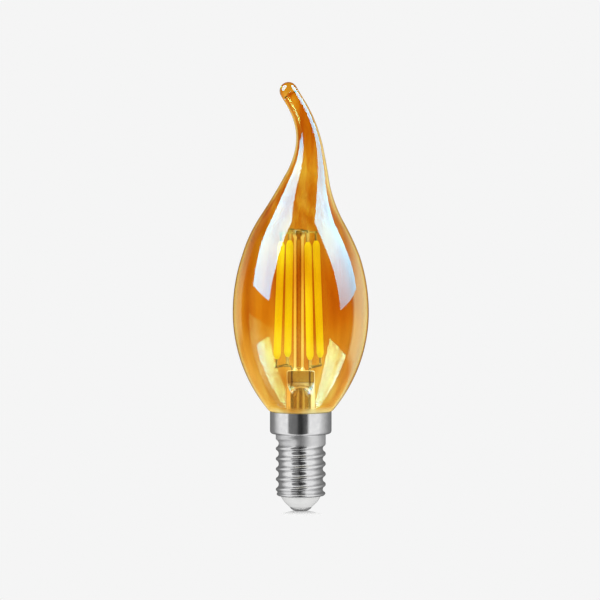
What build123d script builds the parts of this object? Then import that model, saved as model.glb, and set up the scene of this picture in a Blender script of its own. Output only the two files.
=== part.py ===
from build123d import *
import os
from math import atan, cos, degrees, radians, sin, sqrt

# Flame-tip LED filament bulb on a small Edison screw cap, in millimetres.
# The origin is the middle of the centre contact's underside. +Z runs up the axis to the glass tip,
# and the tail of the glass bends in the XZ plane.

# Centre contact and insulator
contact_diameter = 6.1
contact_flat_diameter = 3.4
contact_bulge_radius = 2.2
contact_thickness = 0.95
contact_pin_diameter = 1.6
contact_pin_length = 1.85
insulator_height = 3.15
insulator_step = 0.1
insulator_diameter = 11.1
insulator_dome_radius = 9.0
insulator_floor = 1.2
insulator_cup_floor = 5.0
insulator_collar_height = 2.2
insulator_wall = 1.5

# Screw shell: 14 mm Edison screw, drawn and rolled from sheet, with a 17 mm skirt
sheet = 0.25
thread_diameter = 13.8
thread_depth = 0.8
thread_pitch = 2.822
thread_crest = 0.55
thread_root = 0.55
thread_length = 14.7
thread_start_drop = 1.05
thread_fade_turns = 0.19
thread_lead_in = 1.0
band_height = 2.5
skirt_step = 1.6
skirt_height = 6.15
skirt_edge_radius = 1.0
lip_clearance = 0.05
collar_clearance = 0.05

# Glass envelope, blown in one piece with a drawn and bent tail
glass_wall = 0.7
glass_over_skirt = 0.5
glass_over_rim = 0.45
neck_clearance = 0.45
neck_seat = 1.2
neck_curl_drop = 0.2
neck_curl_radius = 0.8
belly_diameter = 37.5
belly_above_rim = 27.35
upper_bow_radius = 49.5
upper_bow_height = 25.6
tail_above_belly = 15.5
tail_lean_radius = 130.0
tail_lean_angle = 9.3
tail_return_radius = 48.6
tail_hook_radius = 25.4
tail_hook_angle = 30.4
tail_end_length = 4.4
tip_diameter = 4.9
tip_solid = 2.0
glass_sections = 10

# Stem: flared tube, press, exhaust tube and post
stem_diameter = 8.3
stem_wall = 0.8
stem_length = 10.5
stem_cavity_rise = 1.2
flare_radius = 2.8
press_pinch = 3.0
press_height = 3.0
press_thickness = 3.2
exhaust_diameter = 2.4
exhaust_bore = 1.2
exhaust_socket = 2.0
exhaust_port = 0.9
exhaust_stub = 1.5
post_diameter = 2.85
post_offset = -0.55
post_bead_swell = 0.35
post_bead_margin = 0.9
post_bead_cover = 0.45
seal_gap = 0.02

# Wires and filaments
lead_diameter = 0.5
lead_spread = 4.8
lead_bend_radius = 0.85
arm_diameter = 0.6
arm_above_press = 1.1
arm_overhang = 0.45
crown_diameter = 0.5
crown_step = 0.62
crown_overhang = 0.5
filament_count = 4
cage_turn = 27.4
cage_foot_radius = 6.83
cage_head_radius = 5.3
coating_diameter = 2.0
coating_length = 32.1
coating_end_diameter = 1.1
coating_taper = 1.2
coating_above_arm = 2.2
coating_below_crown = 2.4
strip_width = 0.9
strip_thickness = 0.3
tab_grip = 1.5
weld_gap = 0.03

# Driver inside the cap
board_side_gap = 0.65
board_thickness = 0.8
board_above_fuse = 0.4
board_below_stem = 0.8
lead_on_board = 4.4
fuse_diameter = 2.2
fuse_length = 4.8
fuse_tail = 1.0
fuse_on_board = 2.2
can_diameter = 4.0
can_length = 6.6
can_below_top = 0.2
rectifier_width = 4.7
rectifier_height = 3.9
rectifier_thickness = 2.2
rectifier_below_top = 1.0
chip_width = 4.9
chip_height = 3.9
chip_thickness = 1.5
chip_below_rectifier = 0.9
package_draft = 0.3
can_edge = 0.3
shell_wire_below_top = 1.8
shell_wire_overlap = 1.4

# Heights up the axis
shell_bottom = contact_thickness + insulator_height
band_bottom = shell_bottom + thread_length
skirt_floor = band_bottom + band_height
rim_height = skirt_floor + skirt_height
seam_height = skirt_floor + neck_seat
glass_start = rim_height + glass_over_rim
belly_height = rim_height + belly_above_rim
upper_bow_top = belly_height + upper_bow_height
flare_bottom = seam_height - stem_wall
stem_top = seam_height + stem_length
cavity_top = stem_top + stem_cavity_rise
press_bottom = stem_top + press_pinch
press_top = press_bottom + press_height
exhaust_top = cavity_top + exhaust_socket
exhaust_tip = flare_bottom - exhaust_stub
arm_height = press_top + arm_above_press
filament_span = coating_above_arm + coating_length + coating_below_crown
crown_height = arm_height + sqrt(filament_span**2 - (cage_foot_radius - cage_head_radius) ** 2)
pin_top = contact_thickness + contact_pin_length
fuse_bottom = pin_top + fuse_tail
board_bottom = fuse_bottom + fuse_length + board_above_fuse
board_top = exhaust_tip - board_below_stem

# Radii about the axis, and the board's faces
thread_radius = thread_diameter / 2
root_radius = thread_radius - thread_depth
bore_radius = root_radius - sheet
skirt_radius = thread_radius + skirt_step
insulator_radius = insulator_diameter / 2
contact_radius = contact_diameter / 2
neck_radius = skirt_radius - sheet - neck_clearance
glass_start_radius = skirt_radius + glass_over_skirt
belly_radius = belly_diameter / 2
tip_radius = tip_diameter / 2
stem_radius = stem_diameter / 2
stem_bore = stem_radius - stem_wall
lead_radius = lead_diameter / 2
board_width = 2 * (bore_radius - board_side_gap)
board_face = lead_radius
board_back = board_face + board_thickness

os.makedirs("parts", exist_ok=True)


def save(piece, name):
    """Labels a finished piece and writes it to its own file."""
    piece.part.label = name
    export_step(piece.part, f"parts/{name}.step")


# Centre line of the glass: straight up the axis, then a lean, its return and a hook at the tip
with BuildLine(Plane.XZ) as glass_line:
    upright = Line((0, glass_start), (0, belly_height + tail_above_belly))
    lean = JernArc(upright @ 1, upright % 1, tail_lean_radius, -tail_lean_angle)
    back = JernArc(lean @ 1, lean % 1, tail_return_radius, tail_lean_angle)
    hook = JernArc(back @ 1, back % 1, tail_hook_radius, tail_hook_angle)
    Line(hook @ 1, (hook @ 1) + tail_end_length * (hook % 1))
spine = glass_line.wires()[0]
tip_run = glass_start + spine.length

# The lower bow is the arc from the rim to the belly, and the tail narrows by a power law that leaves
# the upper bow at the bow's own slope
lower_bow_width = belly_radius - glass_start_radius
lower_bow_radius = ((belly_height - glass_start) ** 2 + lower_bow_width**2) / (2 * lower_bow_width)
upper_bow_reach = sqrt(upper_bow_radius**2 - upper_bow_height**2)
tail_radius = belly_radius - upper_bow_radius + upper_bow_reach
tail_slope = upper_bow_height / upper_bow_reach
tail_power = tail_slope * (tip_run - upper_bow_top) / (tail_radius - tip_radius)


def glass_radius(run):
    """Outer radius of the glass at a height on the axis, or at that run along the bent tail."""
    if run > upper_bow_top:
        share_left = (tip_run - run) / (tip_run - upper_bow_top)
        return tip_radius + (tail_radius - tip_radius) * share_left**tail_power
    bow_radius = lower_bow_radius if run < belly_height else upper_bow_radius
    return belly_radius - bow_radius + sqrt(bow_radius**2 - (run - belly_height) ** 2)


def spine_plane(run):
    """Plane across the glass's centre line."""
    share = (run - glass_start) / spine.length
    return Plane(origin=spine @ share, x_dir=(0, 1, 0), z_dir=spine % share)


def blown_form(inset, neck_bottom, end_run):
    """Neck, bowed body and bent tail as one full form, inset from the outside of the glass."""
    with BuildPart() as form:
        with BuildSketch(Plane.XZ):
            with BuildLine():
                neck = FilletPolyline(
                    (neck_radius - inset, neck_bottom),
                    (neck_radius - inset, rim_height - neck_curl_drop),
                    (glass_start_radius - inset, glass_start),
                    radius=neck_curl_radius,
                )
                Polyline(neck @ 1, (0, glass_start), (0, neck_bottom), neck @ 0)
            make_face()
        revolve(axis=Axis.Z)
        for section in range(glass_sections + 1):
            run = glass_start + (end_run - glass_start) * section / glass_sections
            with BuildSketch(spine_plane(run)):
                Circle(glass_radius(run) - inset)
        loft()
        with Locations(spine_plane(end_run)):
            Sphere(
                glass_radius(end_run) - inset,
                arc_size1=0,
                align=(Align.CENTER, Align.CENTER, Align.MIN),
            )
    return form.part


# Glass envelope
with BuildPart() as glass_envelope:
    add(blown_form(0, seam_height, tip_run))
    add(blown_form(glass_wall, seam_height - glass_wall, tip_run - tip_solid), mode=Mode.SUBTRACT)
save(glass_envelope, "glass_envelope")

# Flared stem with its press: the flare's rim is sealed under the end of the envelope's neck
flare_centre = (stem_radius + flare_radius, seam_height + flare_radius)
with BuildPart() as stem_flare:
    with BuildSketch(Plane.XZ):
        with BuildLine():
            flare = CenterArc(flare_centre, flare_radius, 180, 90)
            Polyline(
                flare @ 1,
                (neck_radius, seam_height),
                (neck_radius, flare_bottom),
                (0, flare_bottom),
                (0, press_top),
                (stem_radius, press_top),
                flare @ 0,
            )
        make_face()
    revolve(axis=Axis.Z)
    with BuildSketch(Plane.YZ):
        with BuildLine():
            Polyline(
                (neck_radius, flare_bottom),
                (neck_radius, stem_top),
                (stem_radius, stem_top),
                (press_thickness / 2, press_bottom),
                (press_thickness / 2, press_top),
                (0, press_top),
                (0, flare_bottom),
                close=True,
            )
        make_face()
        mirror(about=Plane.YZ)
    extrude(amount=neck_radius, both=True, mode=Mode.INTERSECT)
    with BuildSketch(Plane.XZ):
        with BuildLine():
            inner_flare = CenterArc(flare_centre, flare_radius + stem_wall, 180, 90)
            cavity = CenterArc((0, cavity_top - stem_bore), stem_bore, 0, 90)
            Line(inner_flare @ 0, cavity @ 0)
            Polyline(cavity @ 1, (0, flare_bottom), inner_flare @ 1)
        make_face()
    revolve(axis=Axis.Z, mode=Mode.SUBTRACT)
    with Locations((0, 0, exhaust_top)):
        Cylinder(
            exhaust_diameter / 2 + seal_gap,
            exhaust_top - cavity_top + stem_bore,
            align=(Align.CENTER, Align.CENTER, Align.MAX),
            mode=Mode.SUBTRACT,
        )
    with BuildSketch(Plane.XZ.offset(press_thickness)):
        with Locations((0, exhaust_top - exhaust_port / 2)):
            Circle(exhaust_port / 2)
    extrude(amount=-press_thickness, mode=Mode.SUBTRACT)
    with Locations((-lead_spread / 2, 0, press_top), (lead_spread / 2, 0, press_top)):
        Cylinder(
            lead_radius + seal_gap,
            press_top - cavity_top + stem_bore,
            align=(Align.CENTER, Align.CENTER, Align.MAX),
            mode=Mode.SUBTRACT,
        )
save(stem_flare, "stem_flare")

# Exhaust tube, tipped off below the flare
with BuildPart() as exhaust_tube:
    with BuildSketch(Plane.XZ):
        with BuildLine():
            tip_centre = exhaust_tip + exhaust_diameter / 2
            tip = CenterArc((0, tip_centre), exhaust_diameter / 2, 0, -90)
            bore_end = CenterArc((0, tip_centre), exhaust_bore / 2, 0, -90)
            tube_end = exhaust_top - exhaust_port
            Polyline(tip @ 0, (exhaust_diameter / 2, tube_end), (exhaust_bore / 2, tube_end), bore_end @ 0)
            Line(bore_end @ 1, tip @ 1)
        make_face()
    revolve(axis=Axis.Z)
save(exhaust_tube, "exhaust_tube")

# Filament cage: feet on the lower arms, heads on the crossing crown wires
filaments = range(filament_count)
feet = []
heads = []
for number in filaments:
    turn = radians(cage_turn + number * 360 / filament_count)
    around = Vector(cos(turn), sin(turn), 0)
    centre = Vector(post_offset, 0, 0)
    feet.append(centre + cage_foot_radius * around + Vector(0, 0, arm_height))
    crown = crown_height + crown_step * (number % 2)
    heads.append(centre + cage_head_radius * around + Vector(0, 0, crown))


def straight_wire(start, end, diameter, overhang):
    """Round wire that runs past both of its points."""
    along = (end - start).normalized()
    with BuildPart() as wire:
        with BuildSketch(Plane(origin=start - overhang * along, z_dir=along)):
            Circle(diameter / 2)
        extrude(amount=(end - start).length + 2 * overhang)
    return wire


for number, name in enumerate(("crown_wire_lower", "crown_wire_upper")):
    save(straight_wire(heads[number], heads[number + 2], crown_diameter, crown_overhang), name)

# Glass post with a melted bead, pierced by the crown wires
bead_bottom = crown_height - post_bead_margin
bead_top = crown_height + crown_step + post_bead_cover
bead_radius = post_diameter / 2 + post_bead_swell
with BuildPart() as support_post:
    with BuildSketch(Plane(origin=(post_offset, 0, 0), x_dir=(1, 0, 0), z_dir=(0, -1, 0))):
        with BuildLine():
            Polyline(
                (0, press_top),
                (post_diameter / 2, press_top),
                (post_diameter / 2, bead_bottom - post_bead_swell),
                (bead_radius, bead_bottom),
                (bead_radius, bead_top - post_bead_swell),
                (post_diameter / 2, bead_top),
                (0, bead_top),
                close=True,
            )
        make_face()
    revolve(axis=Axis((post_offset, 0, 0), (0, 0, 1)))
    for number in range(2):
        across = (heads[number + 2] - heads[number]).normalized()
        with BuildSketch(Plane(origin=heads[number], z_dir=across)):
            Circle(crown_diameter / 2 + seal_gap)
        extrude(amount=2 * cage_head_radius, mode=Mode.SUBTRACT)
save(support_post, "support_post")

# Lower arms join neighbouring filaments, and each lead wire bends out to the side of its arm
for name, side, start, end in (("left", -1, feet[1], feet[2]), ("right", 1, feet[3], feet[0])):
    save(straight_wire(start, end, arm_diameter, arm_overhang), f"lower_arm_{name}")
    along = (end - start).normalized()
    corner = Vector(side * lead_spread / 2, 0, arm_height)
    joint = start + along.dot(corner - start) * along
    outward = (joint - corner).normalized()
    with BuildPart() as lead_wire:
        with BuildLine() as lead_path:
            FilletPolyline(
                Vector(corner.X, 0, board_top - lead_on_board),
                corner,
                joint - (arm_diameter / 2) * outward,
                radius=lead_bend_radius,
            )
        with BuildSketch(Plane(origin=lead_path.line @ 0, z_dir=lead_path.line % 0)):
            Circle(lead_radius)
        sweep(path=lead_path.line)
    save(lead_wire, f"lead_wire_{name}")

# Filaments: a strip with a metal tab gripped at each end, moulded into the coating
for number in filaments:
    foot = feet[number]
    axis = (heads[number] - foot).normalized()
    span = (heads[number] - foot).length
    turn = radians(cage_turn + number * 360 / filament_count)
    tangent = Vector(-sin(turn), cos(turn), 0)
    coating_bottom = foot + coating_above_arm * axis
    strip_plane = Plane(origin=coating_bottom, x_dir=tangent, z_dir=axis)

    with BuildPart() as filament_coating:
        with BuildSketch(Plane(origin=coating_bottom, x_dir=tangent, z_dir=tangent.cross(axis))):
            with BuildLine():
                Polyline(
                    (0, 0),
                    (coating_end_diameter / 2, 0),
                    (coating_diameter / 2, coating_taper),
                    (coating_diameter / 2, coating_length - coating_taper),
                    (coating_end_diameter / 2, coating_length),
                    (0, coating_length),
                    close=True,
                )
            make_face()
        revolve(axis=Axis(coating_bottom, axis))
        with BuildSketch(strip_plane):
            Rectangle(strip_width, strip_thickness)
        extrude(amount=coating_length, mode=Mode.SUBTRACT)
    save(filament_coating, f"filament_coating_{number + 1}")

    with BuildPart() as filament_strip:
        with BuildSketch(strip_plane.offset(tab_grip)):
            Rectangle(strip_width, strip_thickness)
        extrude(amount=coating_length - 2 * tab_grip)
    save(filament_strip, f"filament_strip_{number + 1}")

    tab_bottom = arm_diameter / 2 + weld_gap - coating_above_arm
    tab_top = span - coating_above_arm - crown_diameter / 2 - weld_gap
    with BuildPart() as filament_tabs:
        with BuildSketch(strip_plane.offset(tab_bottom)):
            Rectangle(strip_width, strip_thickness)
        extrude(amount=tab_grip - tab_bottom)
        with BuildSketch(strip_plane.offset(coating_length - tab_grip)):
            Rectangle(strip_width, strip_thickness)
        extrude(amount=tab_top - coating_length + tab_grip)
    save(filament_tabs, f"filament_tabs_{number + 1}")


# Screw shell: skirt, plain band and rolled thread, with a lip turned in under the insulator's collar
lip_radius = insulator_radius + lip_clearance
groove_rise = thread_length + thread_start_drop
groove = Helix(thread_pitch, groove_rise, root_radius, center=(0, 0, shell_bottom - thread_start_drop))
# The groove fades out on a cone, whose pitch is measured along its slope
fade_rise = thread_fade_turns * thread_pitch
fade_slope = atan(thread_depth / fade_rise)
fade = Rot(Z=360 * groove_rise / thread_pitch) * Helix(
    thread_pitch / cos(fade_slope),
    fade_rise,
    root_radius,
    center=(0, 0, band_bottom),
    cone_angle=degrees(fade_slope),
)
with BuildPart() as screw_shell:
    with BuildSketch(Plane.XZ):
        with BuildLine():
            Polyline(
                (thread_radius - thread_lead_in, shell_bottom),
                (thread_radius, shell_bottom + thread_lead_in),
                (thread_radius, skirt_floor),
                (skirt_radius, skirt_floor),
                (skirt_radius, rim_height),
                (skirt_radius - sheet, rim_height),
                (skirt_radius - sheet, skirt_floor + sheet),
                (bore_radius, skirt_floor + sheet),
                (bore_radius, shell_bottom + sheet),
                (lip_radius, shell_bottom + sheet),
                (lip_radius, shell_bottom),
                close=True,
            )
        face = make_face()
        fillet(face.vertices().group_by(Axis.X)[-1].sort_by(Axis.Y)[0], radius=skirt_edge_radius)
    revolve(axis=Axis.Z)
    for path, along in ((groove, groove % 0), (fade, groove % 1)):
        outward = Vector((path @ 0).X, (path @ 0).Y, 0)
        with BuildSketch(Plane(origin=path @ 0, x_dir=outward, z_dir=along)):
            with BuildLine():
                Polyline(
                    (0, -thread_root / 2),
                    (thread_depth, (thread_crest - thread_pitch) / 2),
                    (thread_depth, (thread_pitch - thread_crest) / 2),
                    (0, thread_root / 2),
                    close=True,
                )
            make_face()
        sweep(path=path, is_frenet=True, mode=Mode.SUBTRACT)
save(screw_shell, "screw_shell")

# Insulator: a dome under the shell, with a collar inside the shell
with BuildPart() as base_insulator:
    with BuildSketch(Plane.XZ):
        with BuildLine():
            dome = RadiusArc(
                (contact_radius - insulator_step, contact_thickness),
                (insulator_radius, shell_bottom),
                -insulator_dome_radius,
            )
            collar_bottom = shell_bottom + sheet + lip_clearance
            collar_top = collar_bottom + insulator_collar_height
            collar_radius = bore_radius - collar_clearance
            cup_radius = insulator_radius - insulator_wall
            cup_floor = contact_thickness + insulator_floor
            Polyline(
                dome @ 1,
                (insulator_radius, collar_bottom),
                (collar_radius, collar_bottom),
                (collar_radius, collar_top),
                (cup_radius, collar_top),
                (insulator_cup_floor / 2, cup_floor),
                (contact_pin_diameter / 2, cup_floor),
                (contact_pin_diameter / 2, contact_thickness),
                dome @ 0,
            )
        make_face()
    revolve(axis=Axis.Z)
save(base_insulator, "base_insulator")

# Centre contact: a bulged button with a flat underside, and a pin through the insulator's floor
with BuildPart() as centre_contact:
    with BuildSketch(Plane.XZ):
        with BuildLine():
            bulge = RadiusArc(
                (contact_flat_diameter / 2, 0),
                (contact_radius, contact_thickness),
                -contact_bulge_radius,
            )
            Polyline(
                bulge @ 1,
                (contact_pin_diameter / 2, contact_thickness),
                (contact_pin_diameter / 2, pin_top),
                (0, pin_top),
                (0, 0),
                bulge @ 0,
            )
        make_face()
    revolve(axis=Axis.Z)
save(centre_contact, "centre_contact")

# Cement between the glass neck and the skirt
cement_top = rim_height - neck_curl_drop - neck_curl_radius
with BuildPart() as basing_cement:
    with BuildSketch(Plane.XY.offset(seam_height)):
        Circle(skirt_radius - sheet)
        Circle(neck_radius, mode=Mode.SUBTRACT)
    extrude(amount=cement_top - seam_height)
save(basing_cement, "basing_cement")

# Driver board, soldered to the lead wires, standing on the axis
board_middle = (board_bottom + board_top) / 2
with BuildPart() as driver_board:
    with Locations((0, board_face, board_middle)):
        Box(
            board_width,
            board_thickness,
            board_top - board_bottom,
            align=(Align.CENTER, Align.MIN, Align.CENTER),
        )
save(driver_board, "driver_board")

# Bridge rectifier and driver chip on the back of the board
rectifier_middle = board_top - rectifier_below_top - rectifier_height / 2
with BuildPart() as bridge_rectifier:
    with Locations((0, board_back, rectifier_middle)):
        Box(
            rectifier_width,
            rectifier_thickness,
            rectifier_height,
            align=(Align.CENTER, Align.MIN, Align.CENTER),
        )
    chamfer(bridge_rectifier.edges().group_by(Axis.Y)[-1], length=package_draft)
save(bridge_rectifier, "bridge_rectifier")

chip_middle = rectifier_middle - (rectifier_height + chip_height) / 2 - chip_below_rectifier
with BuildPart() as driver_ic:
    with Locations((0, board_back, chip_middle)):
        Box(chip_width, chip_thickness, chip_height, align=(Align.CENTER, Align.MIN, Align.CENTER))
    chamfer(driver_ic.edges().group_by(Axis.Y)[-1], length=package_draft)
save(driver_ic, "driver_ic")

# Smoothing capacitor on the front of the board
with BuildPart() as smoothing_capacitor:
    with BuildSketch(Plane.XY.offset(board_top - can_below_top - can_length)):
        with Locations((0, board_face - can_diameter / 2)):
            Circle(can_diameter / 2)
    extrude(amount=can_length)
    chamfer(smoothing_capacitor.edges().group_by(Axis.Z)[-1], length=can_edge)
save(smoothing_capacitor, "smoothing_capacitor")

# Fuse resistor from the contact's pin to the board, on its own leads
with BuildPart() as fuse_resistor:
    with BuildSketch(Plane.XY.offset(pin_top)):
        Circle(lead_radius)
    extrude(amount=board_bottom + fuse_on_board - pin_top)
    with BuildSketch(Plane.XY.offset(fuse_bottom)):
        Circle(fuse_diameter / 2)
    extrude(amount=fuse_length)
save(fuse_resistor, "fuse_resistor")

# Wire from the board to the wall of the screw shell
shell_wire_end = sqrt(bore_radius**2 - lead_radius**2)
shell_wire_start = board_width / 2 - shell_wire_overlap
with BuildPart() as shell_wire:
    with BuildSketch(Plane.YZ.offset(shell_wire_start)):
        with Locations((0, board_top - shell_wire_below_top)):
            Circle(lead_radius)
    extrude(amount=shell_wire_end - shell_wire_start)
save(shell_wire, "shell_wire")
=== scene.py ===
from math import atan2, cos, floor, pi, radians, sin, sqrt, tau

import bmesh
import bpy
from mathutils import Matrix, Vector, noise
from mathutils.geometry import interpolate_bezier


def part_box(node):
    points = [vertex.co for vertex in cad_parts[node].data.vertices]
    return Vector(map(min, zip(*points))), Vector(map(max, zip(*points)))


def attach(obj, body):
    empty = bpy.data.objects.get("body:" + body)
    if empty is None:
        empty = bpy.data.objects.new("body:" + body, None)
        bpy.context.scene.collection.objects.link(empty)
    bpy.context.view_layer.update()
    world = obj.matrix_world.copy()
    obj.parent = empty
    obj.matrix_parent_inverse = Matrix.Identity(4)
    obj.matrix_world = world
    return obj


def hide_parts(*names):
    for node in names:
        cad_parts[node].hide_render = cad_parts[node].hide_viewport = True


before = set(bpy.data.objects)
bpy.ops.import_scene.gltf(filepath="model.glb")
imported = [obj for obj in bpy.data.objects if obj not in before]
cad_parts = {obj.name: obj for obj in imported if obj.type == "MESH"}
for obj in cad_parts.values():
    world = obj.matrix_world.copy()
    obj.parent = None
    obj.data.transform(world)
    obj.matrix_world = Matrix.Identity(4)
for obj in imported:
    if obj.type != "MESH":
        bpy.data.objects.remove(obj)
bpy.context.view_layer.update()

# Flame-tip LED filament bulb. Shapes are worked out in millimetres and made in metres.
MM = 0.001

# Screw shell
sheet = 0.25
rim_inside_depth = 1.0
rim_edge = 0.1
skirt_height = 6.15
skirt_edge = 1.0
dull_band_height = 3.375
band_edge = 0.25
band_turned_depth = 0.8
thread_rows_drop = 0.9
thread_radius = 6.9
thread_depth = 0.8
thread_pitch = 2.822
thread_root_half = 0.95
thread_length = 14.7
thread_start_drop = 1.05
thread_fade_start = 0.07
thread_fade_end = 0.17
thread_rise_start = 0.2
thread_rise_end = 1.4
thread_lead_in = 1.0
lip_clearance = 0.05

# Insulator and contact
insulator_radius = 5.55
insulator_step = 0.1
insulator_bulge = 0.36
insulator_wall = 1.5
insulator_floor = 1.2
cup_floor_radius = 2.5
collar_clearance = 0.05
contact_flat_radius = 1.7
contact_bulge = 0.16
pin_radius = 0.8

# Glass envelope
glass_wall = 0.7
glass_over_skirt = 0.5
glass_over_rim = 0.45
neck_clearance = 0.45
curl_below_rim = 0.45
curl_above_rim = 0.05
curl_reach = 0.4
belly_above_rim = 27.35
upper_bow_radius = 49.5
upper_bow_height = 25.6
tail_above_belly = 15.5
tail_lean_radius = 130.0
tail_lean_angle = 9.3
tail_return_radius = 48.6
tail_hook_radius = 25.4
tail_hook_angle = 30.4
tail_end_length = 4.4
tip_radius = 2.45
tip_solid = 2.0
tip_height_share = 0.998

# Stem, exhaust tube and post
stem_radius = 4.15
stem_bore = 3.35
stem_length = 10.5
stem_cavity_rise = 1.2
flare_radius = 2.8
flare_thickness = 0.8
press_pinch = 3.0
press_pinch_drop = 0.6
press_half = 1.6
press_width_share = 0.95
press_squareness = 0.45
press_edge = 0.6
seal_depth = 4.5
seal_rise = 0.5
tube_bore = 0.6
tube_end_gap = 0.1
post_radius = 1.425
post_foot_sink = 0.05
post_foot_swell = 0.5
post_foot_height = 1.2
bead_margin = 0.9
bead_approach = 1.5
bead_swell_drop = 1.2
bead_swell_rise = 0.3
bead_rounding = 0.8

# Filaments and their welds
filament_count = 4
cage_turn = 27.4
cage_foot_radius = 6.83
cage_head_radius = 5.3
coating_radius = 1.0
coating_end_radius = 0.5
coating_tip_radius = 0.32
coating_tip_drop = 0.1
coating_middle_drop = 0.12
coating_taper = 1.5
coating_length = 32.1
coating_above_arm = 2.2
weld_inset = 0.2
foot_weld_radius = 0.5
head_weld_radius = 0.45
weld_swell = 0.3
weld_lump_scale = 1.4
weld_seed_step = 3.7
head_seed_shift = 1.9

# Points round each kind of ring, and steps along each kind of curve
RING_POINTS = 120
RING_STEP = 0.6
CURL_POINTS = 13
TIP_STEPS = 12
STEM_POINTS = 72
STEM_ROWS = 40
PRESS_STEPS = 6
FLARE_STEPS = 10
CAVITY_STEPS = 12
ROD_POINTS = 40
TUBE_STEPS = 8
FOOT_STEPS = 8
BEAD_STEPS = 24
COATING_POINTS = 28
COATING_END_STEPS = 8
COATING_ROWS = 16
NUGGET_ROWS = 8
NUGGET_POINTS = 12
SHELL_POINTS = 180
SHELL_EDGE_STEPS = 8
THREAD_ROWS = 300
BASE_POINTS = 96
DOME_STEPS = 16
BULGE_STEPS = 10


def box_mm(node):
    """Lowest and highest corners of a CAD node, in millimetres."""
    low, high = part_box(node)
    return low / MM, high / MM


# Heights and radii that the frame gives
shell_low, shell_high = box_mm("screw_shell")
glass_low, glass_high = box_mm("glass_envelope")
_, stem_high = box_mm("stem_flare")
arm_low, arm_high = box_mm("lower_arm_left")
crown_low, crown_high = box_mm("crown_wire_lower")
upper_crown_low, upper_crown_high = box_mm("crown_wire_upper")
post_low, post_high = box_mm("support_post")
insulator_low, insulator_high = box_mm("base_insulator")
_, contact_high = box_mm("centre_contact")
exhaust_low, exhaust_high = box_mm("exhaust_tube")
shell_bottom = shell_low.z
rim_height = shell_high.z
skirt_radius = shell_high.x
seam_height = glass_low.z
belly_radius = glass_high.y
stem_rim_radius = stem_high.x
press_top = stem_high.z
arm_height = (arm_low.z + arm_high.z) / 2
crown_height = (crown_low.z + crown_high.z) / 2
upper_crown_height = (upper_crown_low.z + upper_crown_high.z) / 2
post_x = (post_low.x + post_high.x) / 2
bead_radius = (post_high.x - post_low.x) / 2
bead_top = post_high.z
dome_bottom = insulator_low.z
collar_radius = insulator_high.x
collar_top = insulator_high.z
contact_radius = contact_high.x
pin_top = contact_high.z
tube_radius = exhaust_high.x
tube_tip = exhaust_low.z

# Heights and radii that follow from those and the sizes
skirt_floor = rim_height - skirt_height
bore_radius = thread_radius - thread_depth - sheet
lip_radius = insulator_radius + lip_clearance
glass_start = rim_height + glass_over_rim
glass_start_radius = skirt_radius + glass_over_skirt
neck_radius = skirt_radius - sheet - neck_clearance
belly_height = rim_height + belly_above_rim
upper_bow_top = belly_height + upper_bow_height
tube_top = seam_height + stem_length
cavity_top = tube_top + stem_cavity_rise
bead_bottom = crown_height - bead_margin

# Runs of the glass's centre line: each one's length and its curvature towards +X
tail_runs = (
    (belly_height + tail_above_belly - glass_start, 0.0),
    (tail_lean_radius * radians(tail_lean_angle), 1 / tail_lean_radius),
    (tail_return_radius * radians(tail_lean_angle), -1 / tail_return_radius),
    (tail_hook_radius * radians(tail_hook_angle), -1 / tail_hook_radius),
    (tail_end_length, 0.0),
)
tip_run = glass_start + sum(length for length, _ in tail_runs)

# The lower bow is the arc from the rim to the belly, and the tail narrows by a power law that leaves
# the upper bow at the bow's own slope
lower_bow_height = belly_height - glass_start
lower_bow_width = belly_radius - glass_start_radius
lower_bow_radius = (lower_bow_height**2 + lower_bow_width**2) / (2 * lower_bow_width)
upper_bow_reach = sqrt(upper_bow_radius**2 - upper_bow_height**2)
tail_radius = belly_radius - upper_bow_radius + upper_bow_reach
tail_slope = upper_bow_height / upper_bow_reach
tail_power = tail_slope * (tip_run - upper_bow_top) / (tail_radius - tip_radius)

# The thread's broad root and tighter crest are arcs that meet at one slope
thread_crest_half = thread_pitch / 2 - thread_root_half
flank_angle = 2 * atan2(thread_depth, thread_pitch / 2)
root_arc = thread_root_half / sin(flank_angle)
crest_arc = thread_crest_half / sin(flank_angle)
groove_zero = shell_bottom - thread_start_drop
groove_turns = (thread_start_drop + thread_length) / thread_pitch


def smooth(value, start, end):
    """0 before start, 1 after end, and an even curve between them."""
    share = min(max((value - start) / (end - start), 0.0), 1.0)
    return share * share * (3 - 2 * share)


def quarter_turns(count):
    """Angles from 0 to a right angle, in even steps."""
    return [pi / 2 * step / count for step in range(count + 1)]


def skin(rings, loop=False):
    """Vertices and faces over a row of rings. A ring of one point closes the form."""
    vertices = []
    starts = []
    for ring in rings:
        starts.append(len(vertices))
        vertices.extend(ring)
    order = list(range(len(rings))) + ([0] if loop else [])
    faces = []
    for a, b in zip(order, order[1:]):
        count = max(len(rings[a]), len(rings[b]))
        for k in range(count):
            corners = [
                starts[a] + k % len(rings[a]),
                starts[a] + (k + 1) % len(rings[a]),
                starts[b] + (k + 1) % len(rings[b]),
                starts[b] + k % len(rings[b]),
            ]
            corners = list(dict.fromkeys(corners))
            if len(corners) > 2:
                faces.append(corners)
    return vertices, faces


def circle(radius, height, count, centre=(0.0, 0.0)):
    """Ring about an upright axis; a single point where it has no radius."""
    if radius <= 0:
        return [Vector((*centre, height))]
    turns = (tau * k / count for k in range(count))
    return [Vector((centre[0] + radius * cos(t), centre[1] + radius * sin(t), height)) for t in turns]


def lathe(profile, count=64, centre=(0.0, 0.0), loop=False):
    """Form turned from (radius, height) points."""
    return skin([circle(radius, height, count, centre) for radius, height in profile], loop)


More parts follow.
